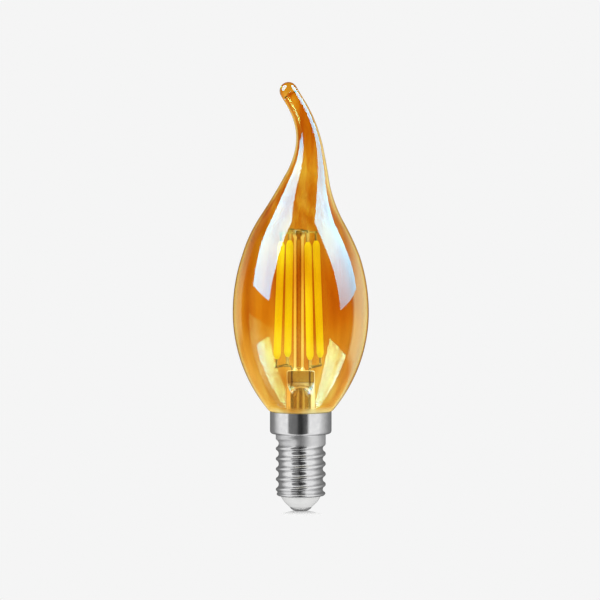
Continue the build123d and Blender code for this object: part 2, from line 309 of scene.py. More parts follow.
def rounded(corners, reaches, steps):
    """Profile whose inner corners are eased by a curve that starts the given reach from each."""
    profile = [corners[0]]
    for before, corner, after, reach in zip(corners, corners[1:], corners[2:], reaches):
        corner = Vector(corner)
        start = corner + (Vector(before) - corner).normalized() * reach
        end = corner + (Vector(after) - corner).normalized() * reach
        for step in range(steps + 1):
            t = step / steps
            point = (1 - t) ** 2 * start + 2 * t * (1 - t) * corner + t * t * end
            profile.append((point.x, point.y))
    profile.append(corners[-1])
    return profile


def joined(forms):
    """One mesh from several."""
    vertices = []
    faces = []
    for form_vertices, form_faces in forms:
        first = len(vertices)
        vertices.extend(form_vertices)
        faces.extend([first + corner for corner in face] for face in form_faces)
    return vertices, faces


def mesh_object(name, vertices, faces, material):
    """Object with one material, from vertices in metres."""
    mesh = bpy.data.meshes.new(name)
    mesh.from_pydata(vertices, [], faces)
    mesh.materials.append(material)
    made = bpy.data.objects.new(name, mesh)
    bpy.context.scene.collection.objects.link(made)
    return made


def piece(name, form, material, slot, *replaced, crease=40):
    """Piece of the bulb from vertices in millimetres, in place of the named CAD nodes."""
    vertices, faces = form
    made = mesh_object(name, [Vector(v) * MM for v in vertices], faces, material)
    mesh = made.data
    work = bmesh.new()
    work.from_mesh(mesh)
    bmesh.ops.recalc_face_normals(work, faces=work.faces)
    work.to_mesh(mesh)
    work.free()
    mesh.polygons.foreach_set("use_smooth", [True] * len(mesh.polygons))
    mesh.set_sharp_from_angle(angle=radians(crease))
    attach(made, "root")
    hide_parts(*replaced)


# Materials


def new_shader(name, **sockets):
    """Material with a Principled shader, whose sockets are set by name."""
    material = bpy.data.materials.new(name)
    material.use_nodes = True
    shader = material.node_tree.nodes["Principled BSDF"]
    for socket, value in sockets.items():
        shader.inputs[socket.replace("_", " ")].default_value = value
    return material, material.node_tree, shader


def add_node(tree, kind, **values):
    """Node with its input sockets set by name."""
    node = tree.nodes.new(kind)
    for socket, value in values.items():
        node.inputs[socket.replace("_", " ")].default_value = value
    return node


def grain(tree, scale, detail=3.0, stretch=(1, 1, 1), shift=(0, 0, 0)):
    """Noise in the object's own coordinates, per metre; a stretch below 1 draws it out along an axis."""
    coordinates = tree.nodes.new("ShaderNodeTexCoord")
    mapping = add_node(tree, "ShaderNodeMapping", Scale=stretch, Location=shift)
    texture = add_node(tree, "ShaderNodeTexNoise", Scale=scale, Detail=detail)
    tree.links.new(coordinates.outputs["Object"], mapping.inputs["Vector"])
    tree.links.new(mapping.outputs["Vector"], texture.inputs["Vector"])
    return texture.outputs["Fac"]


def share_between(tree, value, low, high):
    """0 where a value is low and 1 where it is high."""
    share = add_node(tree, "ShaderNodeMapRange", From_Min=low, From_Max=high)
    tree.links.new(value, share.inputs["Value"])
    return share.outputs["Result"]


def height_share(tree, low, high):
    """0 at one height of the object and 1 at another, in millimetres."""
    coordinates = tree.nodes.new("ShaderNodeTexCoord")
    split = tree.nodes.new("ShaderNodeSeparateXYZ")
    tree.links.new(coordinates.outputs["Object"], split.inputs["Vector"])
    return share_between(tree, split.outputs["Z"], low * MM, high * MM)


def ramp(tree, factor, *stops):
    """Colours or levels along a factor, as (position, value) pairs."""
    node = tree.nodes.new("ShaderNodeValToRGB")
    elements = node.color_ramp.elements
    while len(elements) < len(stops):
        elements.new(0.5)
    for element, (position, value) in zip(elements, stops):
        element.position = position
        element.color = (*value, 1) if isinstance(value, tuple) else (value, value, value, 1)
    tree.links.new(factor, node.inputs["Fac"])
    return node.outputs["Color"]


def bump(tree, shader, height, strength, distance):
    """Fine relief on the shader's normal, its depth in millimetres."""
    node = add_node(tree, "ShaderNodeBump", Strength=strength, Distance=distance * MM)
    tree.links.new(height, node.inputs["Height"])
    tree.links.new(node.outputs["Normal"], shader.inputs["Normal"])


def calculate(tree, operation, first, second):
    """Result of a sum on two sockets or numbers."""
    node = tree.nodes.new("ShaderNodeMath")
    node.operation = operation
    for socket, value in zip(node.inputs, (first, second)):
        if isinstance(value, float):
            socket.default_value = value
        else:
            tree.links.new(value, socket)
    return node.outputs["Value"]


def blend(tree, factor, first, second):
    """Mix of two colours, each a socket or a colour."""
    node = tree.nodes.new("ShaderNodeMix")
    node.data_type = "RGBA"
    tree.links.new(factor, node.inputs["Factor"])
    for socket, value in (("A", first), ("B", second)):
        if isinstance(value, tuple):
            node.inputs[socket].default_value = (*value, 1)
        else:
            tree.links.new(value, node.inputs[socket])
    return node.outputs["Result"]


def product(tree, first, second):
    """Two colours multiplied."""
    node = tree.nodes.new("ShaderNodeMix")
    node.data_type = "RGBA"
    node.blend_type = "MULTIPLY"
    node.inputs["Factor"].default_value = 1.0
    tree.links.new(first, node.inputs["A"])
    tree.links.new(second, node.inputs["B"])
    return node.outputs["Result"]


def choose_surface(tree, factor, first, second):
    """Surface that is one shader where the factor is 0 and another where it is 1."""
    mix = tree.nodes.new("ShaderNodeMixShader")
    tree.links.new(factor, mix.inputs["Fac"])
    tree.links.new(first, mix.inputs[1])
    tree.links.new(second, mix.inputs[2])
    tree.links.new(mix.outputs["Shader"], tree.nodes["Material Output"].inputs["Surface"])


def let_light_through(tree, shader, colour):
    """Lamps, the fill and what satin metal mirrors reach through the glass, faintly tinted."""
    path = tree.nodes.new("ShaderNodeLightPath")
    rough = calculate(tree, "GREATER_THAN", path.outputs["Is Glossy Ray"], path.outputs["Is Singular Ray"])
    passing = calculate(tree, "MAXIMUM", path.outputs["Is Shadow Ray"], path.outputs["Is Diffuse Ray"])
    passing = calculate(tree, "MAXIMUM", passing, rough)
    clear = add_node(tree, "ShaderNodeBsdfTransparent", Color=(*colour, 1))
    choose_surface(tree, passing, shader.outputs["BSDF"], clear.outputs["BSDF"])


def facing(tree):
    """0 where a face looks at the viewer and 1 where it is seen edge on."""
    return add_node(tree, "ShaderNodeLayerWeight", Blend=0.5).outputs["Facing"]


def amber_glass():
    """Amber blown glass: palest at the neck, deep round the belly and at the tip, streaked, and darker in
    patches that are partly painted shade.
    """
    material, tree, shader = new_shader("amber_glass", Roughness=0.0, IOR=1.5, Transmission_Weight=1.0)
    height = height_share(tree, rim_height, glass_high.z)
    deep = ramp(
        tree,
        height,
        (0.0, (1.0, 0.98, 0.5)),
        (0.016, (1.0, 0.94, 0.46)),
        (0.1, (1.0, 0.8, 0.34)),
        (0.16, (1.0, 0.73, 0.21)),
        (0.29, (0.97, 0.58, 0.07)),
        (0.42, (0.98, 0.62, 0.1)),
        (0.54, (1.0, 0.83, 0.25)),
        (0.74, (1.0, 0.79, 0.22)),
        (0.95, (0.97, 0.65, 0.12)),
        (0.985, (0.84, 0.42, 0.03)),
    )
    edge = ramp(
        tree,
        height,
        (0.0, (1.0, 0.78, 0.3)),
        (0.12, (0.97, 0.68, 0.18)),
        (0.4, (0.95, 0.62, 0.11)),
        (0.62, (0.88, 0.47, 0.05)),
        (0.8, (0.76, 0.36, 0.02)),
    )
    shade = blend(tree, facing(tree), deep, edge)
    streak = grain(tree, 260, detail=2.0, stretch=(1, 1, 0.08))
    shade = product(tree, shade, ramp(tree, streak, (0.35, (0.9, 0.74, 0.45)), (0.6, 1.0)))
    # Uneven darker patches of tint, shifted so that two of them fall where the glass mirrors the dark gaps
    # between the softboxes: there they are painted shade
    patchy_tint_and_shade = grain(tree, 75, detail=1.0, stretch=(1, 1, 0.35), shift=(1.71, 2.23, 1.48))
    shade = product(tree, shade, ramp(tree, patchy_tint_and_shade, (0.4, (0.8, 0.54, 0.26)), (0.55, 1.0)))
    # The tail is drawn out in long streaks
    drawn = grain(tree, 420, detail=1.0, stretch=(1, 1, 0.04))
    streaked = product(tree, shade, ramp(tree, drawn, (0.42, (0.9, 0.66, 0.3)), (0.52, 1.0)))
    shade = blend(tree, ramp(tree, height, (0.5, 0.0), (0.6, 1.0)), shade, streaked)
    tree.links.new(shade, shader.inputs["Base Color"])
    # The curled neck scatters the light
    clarity = ramp(tree, height, (0.004, 0.15), (0.022, 1.0))
    tree.links.new(clarity, shader.inputs["Transmission Weight"])
    ripple = grain(tree, 60, detail=1.0, stretch=(1, 1, 0.35))
    bump(tree, shader, ripple, 0.05, 1.0)
    let_light_through(tree, shader, (1.0, 0.97, 0.85))
    return material


# The glass is tinted darker and cooler over the press, and painted dark brown over the bead as painted
# shade round the crossing crown wires
PRESS_TINT = (0.66, 0.7, 0.8)
BEAD_PAINTED_SHADE = (0.32, 0.26, 0.18)


def darkened_band(tree, low, high, tint):
    """Darkening tint between two heights, and none outside them."""
    share = height_share(tree, low, high)
    return ramp(tree, share, (0.0, 1.0), (0.35, tint), (0.93, tint), (1.0, 1.0))


def clear_glass(name, painted_highlight_from, ripple, glow):
    """Clear drawn glass, darker over the press and painted dark over the bead, with painted shade and
    highlight by the view angle: dark edges round a pale glowing band where its sides seem to catch the
    light.
    """
    material, tree, shader = new_shader(name, Roughness=0.0, IOR=1.5, Emission_Strength=glow)
    side = facing(tree)
    clear_to = painted_highlight_from - 0.05
    painted_highlight_to = 0.62
    clear_from = 0.8
    # Painted shade and highlight by the view angle: a pale face, dark edges, and a white band between them
    tint = ramp(
        tree,
        side,
        (0.0, (0.85, 0.82, 0.55)),
        (clear_to, (0.45, 0.35, 0.18)),
        (painted_highlight_from, 1.0),
        (painted_highlight_to, 1.0),
        (clear_from, (0.3, 0.22, 0.1)),
    )
    for low, high, shade in ((tube_top, press_top, PRESS_TINT), (bead_bottom, bead_top, BEAD_PAINTED_SHADE)):
        tint = product(tree, tint, darkened_band(tree, low, high, shade))
    tree.links.new(tint, shader.inputs["Base Color"])
    # The white band also glows and lets little light through: a painted highlight that stands in for
    # reflections on the sides
    for socket, clear, painted_highlight, rim in (
        ("Emission Color", 0.0, 1.0, 0.0),
        ("Transmission Weight", 1.0, 0.12, 0.9),
    ):
        stops = ((clear_to, clear), (painted_highlight_from, painted_highlight), (painted_highlight_to, painted_highlight), (clear_from, rim))
        level = ramp(tree, side, *stops)
        tree.links.new(level, shader.inputs[socket])
    streak = grain(tree, 500, detail=2.0, stretch=(1, 1, 0.1))
    bump(tree, shader, streak, ripple, 0.5)
    let_light_through(tree, shader, (0.98, 0.98, 0.97))
    return material


def nickel():
    """Bright nickel plate on drawn sheet."""
    material, tree, shader = new_shader("nickel_plate", Metallic=1.0)
    mottle = grain(tree, 700, detail=4.0)
    tone = ramp(tree, mottle, (0.3, (0.66, 0.66, 0.67)), (0.7, (0.74, 0.74, 0.74)))
    tree.links.new(tone, shader.inputs["Base Color"])
    drawn = grain(tree, 1500, detail=3.0, stretch=(1, 1, 0.15))
    # The band under the skirt is duller than the rest
    dullness = 0.32
    band = height_share(tree, skirt_floor - dull_band_height, skirt_floor)
    dull = ramp(tree, band, (0.0, 0.0), (0.2, dullness), (0.88, dullness), (1.0, 0.0))
    roughness = calculate(tree, "ADD", ramp(tree, drawn, (0.3, 0.13), (0.75, 0.2)), dull)
    tree.links.new(roughness, shader.inputs["Roughness"])
    bump(tree, shader, drawn, 0.05, 0.05)
    return material


def phosphor():
    """Yellow phosphor silicone with a steady painted glow, lit or not, on top of the light it gets; real
    phosphor glows a little in daylight.
    """
    material, tree, shader = new_shader("phosphor", Roughness=0.5, Emission_Strength=0.38)
    speckle = grain(tree, 2500, detail=3.0)
    tone = ramp(tree, speckle, (0.3, (0.8, 0.93, 0.03)), (0.7, (0.86, 1.0, 0.05)))
    tree.links.new(tone, shader.inputs["Base Color"])
    # Painted glow: the phosphor's own colour, emitted at a fixed strength
    tree.links.new(tone, shader.inputs["Emission Color"])
    bump(tree, shader, speckle, 0.08, 0.1)
    return material


# Bright wire from its darker grain to its lighter
WIRE_DARK = (0.7, 0.68, 0.63)
WIRE_LIGHT = (0.88, 0.86, 0.8)
WIRE_GRAIN = 2200
WIRE_STRETCH = (1, 1, 0.2)


def satin(name, dark, light, scale, roughness, metallic=0.0, stretch=(1, 1, 1)):
    """Plain finish that varies a little in tone, gloss and relief."""
    material, tree, shader = new_shader(name, Metallic=metallic)
    tone = grain(tree, scale, stretch=stretch)
    tree.links.new(ramp(tree, tone, (0.3, dark), (0.7, light)), shader.inputs["Base Color"])
    gloss = ramp(tree, tone, (0.25, roughness * 0.8), (0.75, roughness * 1.2))
    tree.links.new(gloss, shader.inputs["Roughness"])
    bump(tree, shader, tone, 0.06, 0.1)
    return material


def sealed_lead():
    """Bright wire that turns to dull copper where it is sealed in the press."""
    material, tree, shader = new_shader("sealed_lead", Metallic=1.0)
    seal = height_share(tree, press_top - seal_depth, press_top + seal_rise)
    outside = ramp(tree, seal, (0.0, 1.0), (0.2, 0.0), (0.8, 0.0), (0.95, 1.0))
    tone = grain(tree, WIRE_GRAIN, stretch=WIRE_STRETCH)
    bright = ramp(tree, tone, (0.3, WIRE_DARK), (0.7, WIRE_LIGHT))
    copper = ramp(tree, tone, (0.3, (0.12, 0.04, 0.02)), (0.7, (0.26, 0.09, 0.04)))
    tree.links.new(blend(tree, outside, copper, bright), shader.inputs["Base Color"])
    tree.links.new(ramp(tree, tone, (0.25, 0.2), (0.75, 0.35)), shader.inputs["Roughness"])
    bump(tree, shader, tone, 0.06, 0.1)
    return material


amber = amber_glass()
# Clear glass: where its painted highlight band starts, the depth of its ripple, and the strength of its
# painted glow
stem_glass = clear_glass("stem_glass", 0.3, 0.12, 0.45)
rod_glass = clear_glass("rod_glass", 0.14, 0.03, 0.2)
plate = nickel()
yellow = phosphor()
lead_metal = sealed_lead()
wire_metal = satin("wire_metal", WIRE_DARK, WIRE_LIGHT, WIRE_GRAIN, 0.17, 1.0, WIRE_STRETCH)
ceramic = satin("ceramic_strip", (0.82, 0.82, 0.78), (0.9, 0.9, 0.86), 1800, 0.45)
opal = satin("opal_insulator", (0.9, 0.9, 0.89), (0.95, 0.95, 0.94), 300, 0.14)
contact_metal = satin("contact_metal", (0.72, 0.72, 0.72), (0.86, 0.86, 0.85), 1400, 0.32, 1.0)
cement_mix = satin("basing_cement", (0.6, 0.54, 0.42), (0.72, 0.66, 0.54), 1500, 0.85)
board_green = satin("driver_board", (0.02, 0.09, 0.03), (0.035, 0.13, 0.05), 2500, 0.45)
package_black = satin("moulded_package", (0.012, 0.012, 0.013), (0.03, 0.03, 0.032), 2500, 0.55)
can_sleeve = satin("can_sleeve", (0.015, 0.016, 0.022), (0.03, 0.03, 0.04), 900, 0.3)
lacquer = satin("resistor_lacquer", (0.2, 0.28, 0.24), (0.3, 0.38, 0.33), 1200, 0.4)

# Glass envelope


def glass_radius(run):
    """Outer radius of the glass at a run along its centre line."""
    if run > upper_bow_top:
        share_left = (tip_run - run) / (tip_run - upper_bow_top)
        return tip_radius + (tail_radius - tip_radius) * share_left**tail_power
    bow = lower_bow_radius if run < belly_height else upper_bow_radius
    return belly_radius - bow + sqrt(bow**2 - (run - belly_height) ** 2)


def spine(run):
    """Point on the centre line, and its lean from upright towards +X."""
    x, z, lean = 0.0, glass_start, 0.0
    left = run - glass_start
    for length, curvature in tail_runs:
        step = min(left, length)
        if curvature:
            turned = lean + step * curvature
            x += (cos(lean) - cos(turned)) / curvature
            z += (sin(turned) - sin(lean)) / curvature
            lean = turned
        else:
            x += step * sin(lean)
            z += step * cos(lean)
        left -= step
    return Vector((x, 0, z)), lean


def spine_ring(run, radius, rise=0.0):
    """Ring across the centre line, raised along it."""
    centre, lean = spine(run)
    centre = centre + rise * Vector((sin(lean), 0, cos(lean)))
    if radius <= 0:
        return [centre]
    across = Vector((cos(lean), 0, -sin(lean)))
    away = Vector((0, 1, 0))
    turns = (tau * k / RING_POINTS for k in range(RING_POINTS))
    return [centre + radius * (cos(t) * across + sin(t) * away) for t in turns]


def blown_wall(inset, end_run):
    """Rings of one face of the glass, from the neck's lower edge to the closed tip."""
    rings = [circle(neck_radius - inset, seam_height, RING_POINTS)]
    # The neck curls out over the shell's rim and meets the lower bow at the bow's own slope
    start_slope = lower_bow_height / sqrt(lower_bow_radius**2 - lower_bow_height**2)
    neck_curl = interpolate_bezier(
        Vector((neck_radius, rim_height - curl_below_rim)),
        Vector((neck_radius, rim_height + curl_above_rim)),
        Vector((glass_start_radius - curl_reach * start_slope, glass_start - curl_reach)),
        Vector((glass_start_radius, glass_start)),
        CURL_POINTS,
    )
    for radius, height in neck_curl:
        rings.append(circle(radius - inset, height, RING_POINTS))
    count = round((end_run - glass_start) / RING_STEP)
    for step in range(1, count + 1):
        run = glass_start + (end_run - glass_start) * step / count
        rings.append(spine_ring(run, glass_radius(run) - inset))
    cap_radius = glass_radius(end_run) - inset
    cap_height = tip_height_share * cap_radius
    for turn in quarter_turns(TIP_STEPS)[1:-1]:
        rings.append(spine_ring(end_run, cap_radius * cos(turn), cap_height * sin(turn)))
    rings.append(spine_ring(end_run, 0, cap_height))
    return rings


outer_wall = blown_wall(0, tip_run)
inner_wall = blown_wall(glass_wall, tip_run - tip_solid)
piece("blown_glass", skin(outer_wall[::-1] + inner_wall), amber, "amber_glass", "glass_envelope", crease=60)

# Stem: flared tube that is pinched flat into the press


def press_ring(height, inset=0.0):
    """Ring of the stem: round below, and a flat rounded bar where it is pinched."""
    pinched = smooth(height, tube_top - press_pinch_drop, tube_top + press_pinch)
    half_width = stem_radius * (1 + (press_width_share - 1) * pinched) - inset
    half_depth = stem_radius + (press_half - stem_radius) * pinched - inset
    power = 1 - press_squareness * pinched
    ring = []
    for k in range(STEM_POINTS):
        turn = tau * k / STEM_POINTS
        x = abs(cos(turn)) ** power * (1 if cos(turn) > 0 else -1)
        y = abs(sin(turn)) ** power * (1 if sin(turn) > 0 else -1)
        ring.append(Vector((half_width * x, half_depth * y, height)))
    return ring


def flare_curve(reach):
    """Profile of the flare, at a reach from the middle of its round, out to its rim."""
    centre = stem_radius + flare_radius
    top = seam_height + flare_radius
    turns = quarter_turns(FLARE_STEPS)[1:]
    return [(centre - reach * cos(turn), top - reach * sin(turn)) for turn in turns]


def stem_rings():
    """Rings from the press's top down the outside, round the flare's rim and up the bore."""
    rings = [[Vector((0, 0, press_top))]]
    for turn in quarter_turns(PRESS_STEPS):
        height = press_top - press_edge * (1 - cos(turn))
        rings.append(press_ring(height, press_edge * (1 - sin(turn))))
    wall_top = press_top - press_edge
    wall_length = wall_top - (seam_height + flare_radius)
    for step in range(1, STEM_ROWS + 1):
        rings.append(press_ring(wall_top - wall_length * step / STEM_ROWS))
    profile = flare_curve(flare_radius)
    profile += [(stem_rim_radius, seam_height), (stem_rim_radius, seam_height - flare_thickness)]
    profile += flare_curve(flare_radius + flare_thickness)[::-1]
    for turn in quarter_turns(CAVITY_STEPS)[:-1]:
        profile.append((stem_bore * cos(turn), cavity_top - stem_bore * (1 - sin(turn))))
    profile.append((0, cavity_top))
    for radius, height in profile:
        rings.append(circle(radius, height, STEM_POINTS))
    return rings


piece("stem_and_press", skin(stem_rings()), stem_glass, "stem_glass", "stem_flare")

# Exhaust tube, tipped off below the flare


def tube_curve(radius):
    """Profile of the tube's outside or bore, from its round tip to its open end."""
    centre = tube_tip + tube_radius
    tip = [(radius * sin(turn), centre - radius * cos(turn)) for turn in quarter_turns(TUBE_STEPS)]
    return tip + [(radius, cavity_top - tube_end_gap)]


tube_profile = tube_curve(tube_radius) + tube_curve(tube_bore)[::-1]
piece("exhaust_tube_drawn", lathe(tube_profile, ROD_POINTS), rod_glass, "stem_glass", "exhaust_tube")

# Post with its foot melted on to the press and a bead round the crossing crown wires


def post_curve():
    """Profile of the post from the middle of its foot to the top of its bead."""
    foot_height = press_top - post_foot_sink
    profile = [(0, foot_height), (post_radius + post_foot_swell, foot_height)]
    for step in range(1, FOOT_STEPS + 1):
        t = step / FOOT_STEPS
        profile.append((post_radius + post_foot_swell * (1 - t) ** 2, press_top + post_foot_height * t))
    start = bead_bottom - bead_approach
    for step in range(BEAD_STEPS):
        height = start + (bead_top - start) * step / BEAD_STEPS
        swollen = smooth(height, bead_bottom - bead_swell_drop, bead_bottom + bead_swell_rise)
        radius = post_radius + (bead_radius - post_radius) * swollen
        closing = max(height - (bead_top - bead_rounding), 0) / bead_rounding
        profile.append((radius * sqrt(1 - closing**2), height))
    profile.append((0, bead_top))
    return profile


post_form = lathe(post_curve(), ROD_POINTS, (post_x, 0))
piece("support_post_drawn", post_form, rod_glass, "stem_glass", "support_post")

# Filaments
feet = []
heads = []
for number in range(filament_count):
    turn = radians(cage_turn) + tau * number / filament_count
    around = Vector((cos(turn), sin(turn), 0))
    feet.append(Vector((post_x, 0, arm_height)) + cage_foot_radius * around)
    head_height = upper_crown_height if number % 2 else crown_height
    heads.append(Vector((post_x, 0, head_height)) + cage_head_radius * around)


def along(start, end):
    """Turn and shift that stands the Z axis on start and points it at end."""
    return Matrix.Translation(start) @ (end - start).to_track_quat("Z", "Y").to_matrix().to_4x4()


def coating_form():
    """Round bar of silicone that is drawn in at both ends, with a bulged foot and a flat head."""
    end = []
    for step in range(COATING_END_STEPS + 1):
        t = step / COATING_END_STEPS
        radius = coating_end_radius + (coating_radius - coating_end_radius) * sin(pi / 2 * t)
        end.append((radius, coating_taper * t))
    foot = [(0, -coating_middle_drop), (coating_tip_radius, -coating_tip_drop)] + end
    head = [(0, 0), (coating_tip_radius, 0)] + end
    bar = [(coating_radius, coating_length * k / COATING_ROWS) for k in range(2, COATING_ROWS - 1)]
    top = [(radius, coating_length - height) for radius, height in head[::-1]]
    return lathe(foot + bar + top, COATING_POINTS)


for number, (foot, head) in enumerate(zip(feet, heads), start=1):
    place = along(foot, head) @ Matrix.Translation((0, 0, coating_above_arm))
    vertices, faces = coating_form()
    form = [place @ vertex for vertex in vertices], faces
    piece(f"filament_{number}", form, yellow, "phosphor", f"filament_coating_{number}", crease=70)

# Weld nuggets where the tabs meet the wires


def nugget(centre, radius, seed):
    """Small lump of melted wire."""
    rings = []
    for row in range(NUGGET_ROWS + 1):
        turn = pi * row / NUGGET_ROWS
        count = NUGGET_POINTS if 0 < row < NUGGET_ROWS else 1
        ring = []
        for k in range(count):
            way = Vector((sin(turn) * cos(tau * k / count), sin(turn) * sin(tau * k / count), cos(turn)))
            swell = 1 + weld_swell * noise.noise(way * weld_lump_scale + Vector((seed, 0, 0)))
            ring.append(centre + radius * swell * way)
        rings.append(ring)
    return skin(rings)


welds = []
for number, (foot, head) in enumerate(zip(feet, heads)):
    inward = weld_inset * (head - foot).normalized()
    seed = weld_seed_step * number
    welds.append(nugget(foot + inward, foot_weld_radius, seed))
    welds.append(nugget(head - inward, head_weld_radius, seed + head_seed_shift))
piece("weld_nuggets", joined(welds), wire_metal, "lead_metal")

# Screw shell: plain skirt and band, and a rounded rolled thread that fades out under the band


def groove_depth(offset):
    """Depth of the thread at a distance from the middle of its groove."""
    if offset < thread_root_half:
        return thread_depth - root_arc + sqrt(root_arc**2 - offset**2)
    return crest_arc - sqrt(crest_arc**2 - (thread_pitch / 2 - offset) ** 2)


def thread_surface(turn, height):
    """Radius of the shell's outside under the skirt."""
    position = (height - groove_zero) / thread_pitch
    lap = turn / tau
    nearest = lap + floor(position - lap + 0.5)
    share = 1 - smooth(nearest, groove_turns + thread_fade_start, groove_turns + thread_fade_end)
    share *= smooth(height, shell_bottom + thread_rise_start, shell_bottom + thread_rise_end)
    lead = max(1 - (height - shell_bottom) / thread_lead_in, 0)
    cut = share * groove_depth(abs(position - nearest) * thread_pitch)
    return thread_radius - thread_lead_in * (1 - sqrt(1 - lead**2)) - cut


def shell_rings():
    """Rings down the outside, round the turned-in lip and back up inside."""
    inner_radius = skirt_radius - sheet
    outside = rounded(
        [
            (inner_radius, rim_height - rim_inside_depth),
            (inner_radius, rim_height),
            (skirt_radius, rim_height),
            (skirt_radius, skirt_floor),
            (thread_radius, skirt_floor),
            (thread_radius, skirt_floor - band_turned_depth),
        ],
        [rim_edge, rim_edge, skirt_edge, band_edge],
        SHELL_EDGE_STEPS,
    )
    rings = [circle(radius, height, SHELL_POINTS) for radius, height in outside]
    top = skirt_floor - thread_rows_drop
    for row in range(THREAD_ROWS + 1):
        height = top + (shell_bottom - top) * row / THREAD_ROWS
        ring = []
        for k in range(SHELL_POINTS):
            turn = tau * k / SHELL_POINTS
            radius = thread_surface(turn, height)
            ring.append(Vector((radius * cos(turn), radius * sin(turn), height)))
        rings.append(ring)
    inside = [
        (lip_radius, shell_bottom),
        (lip_radius, shell_bottom + sheet),
        (bore_radius, shell_bottom + sheet),
        (bore_radius, skirt_floor + sheet),
        (inner_radius, skirt_floor + sheet),
    ]
    return rings + [circle(radius, height, SHELL_POINTS) for radius, height in inside]


piece("rolled_screw_shell", skin(shell_rings(), loop=True), plate, "nickel_shell", "screw_shell", crease=50)

# Insulator: a smooth dome under the shell, with its collar inside


def dome_curve():
    """Profile round the insulator, from the pin's hole over the dome and collar into the cup."""
    foot_radius = contact_radius - insulator_step
    cup_floor = dome_bottom + insulator_floor
    collar_bottom = shell_bottom + sheet + collar_clearance
    profile = [(pin_radius, cup_floor), (pin_radius, dome_bottom)]
    for step in range(DOME_STEPS + 1):
        t = step / DOME_STEPS
        radius = foot_radius + (insulator_radius - foot_radius) * t + insulator_bulge * sin(pi * t)
        profile.append((min(radius, insulator_radius), dome_bottom + (shell_bottom - dome_bottom) * t))
    return profile + [
        (insulator_radius, collar_bottom),
        (collar_radius, collar_bottom),
        (collar_radius, collar_top),
        (insulator_radius - insulator_wall, collar_top),
        (cup_floor_radius, cup_floor),
    ]


dome_form = lathe(dome_curve(), BASE_POINTS, loop=True)
piece("opal_base", dome_form, opal, "white_insulator", "base_insulator", crease=45)

# Contact: a button that bulges between its flat underside and its rim, with a pin up the insulator


def contact_curve():
    """Profile of the contact from the middle of its underside to the top of its pin."""
    flat = Vector((contact_flat_radius, 0.0))
    rim = Vector((contact_radius, dome_bottom))
    outward = Vector((rim.y - flat.y, flat.x - rim.x)).normalized()
    profile = [(0, 0)]
    for step in range(BULGE_STEPS + 1):
        t = step / BULGE_STEPS
        point = flat.lerp(rim, t) + contact_bulge * 4 * t * (1 - t) * outward
        profile.append((point.x, point.y))
    return profile + [(pin_radius, dome_bottom), (pin_radius, pin_top), (0, pin_top)]


contact_form = lathe(contact_curve(), BASE_POINTS)
piece("contact_button", contact_form, contact_metal, "contact_metal", "centre_contact")

# Materials of the CAD nodes that stay
finishes = {
    "lead_wire_left": lead_metal,
    "lead_wire_right": lead_metal,
    "lower_arm_left": wire_metal,
    "lower_arm_right": wire_metal,
    "crown_wire_lower": wire_metal,
    "crown_wire_upper": wire_metal,
    "shell_wire": wire_metal,
    "basing_cement": cement_mix,
    "driver_board": board_green,
    "bridge_rectifier": package_black,
    "driver_ic": package_black,
    "smoothing_capacitor": can_sleeve,
    "fuse_resistor": lacquer,
}
for number in range(1, filament_count + 1):
    finishes[f"filament_strip_{number}"] = ceramic
    finishes[f"filament_tabs_{number}"] = wire_metal
for name, material in finishes.items():
    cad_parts[name].material_slots[0].material = material

# Camera, in metres
scene = bpy.context.scene
scene.view_settings.view_transform = "Standard"
camera_tilt = radians(3.5)
camera_distance = 1.4
view_width = 0.1653
view_height = 0.05824
view_side = -0.00021
camera_data = bpy.data.cameras.new("camera")
camera_data.lens = camera_data.sensor_width * camera_distance / view_width
camera = bpy.data.objects.new("camera", camera_data)
camera_back = camera_distance * cos(camera_tilt)
camera_rise = camera_distance * sin(camera_tilt)
camera.location = (view_side, -camera_back, view_height + camera_rise)
camera.rotation_euler = (pi / 2 - camera_tilt, 0, 0)
scene.collection.objects.link(camera)
scene.camera = camera

# Softboxes: heights in millimetres, and distances in metres from the middle of the glass
glass_middle = 70
softbox_top = 330
softbox_distance = 0.6
haze_distance = 1.6
SKY_BLUE = (0.3, 12.0, 19.0)
DULL_BLUE = (0.0, 6.4, 8.8)
WHITE = (6.2, 15.0, 18.5)
PALE_BLUE = (4.0, 14.0, 19.0)
CREAM = (6.0, 46.0, 950.0)
DEEP_CREAM = (8.0, 86.0, 2400.0)
HAZE = (1.8, 9.5, 140.0)


def towards(azimuth, elevation, distance):
    """Point seen from the middle of the glass, its azimuth from the camera's side towards +X."""
    turn = radians(azimuth)
    rise = radians(elevation)
    middle = Vector((0, 0, glass_middle * MM))
    return middle + distance * Vector((sin(turn) * cos(rise), -cos(turn) * cos(rise), sin(rise)))


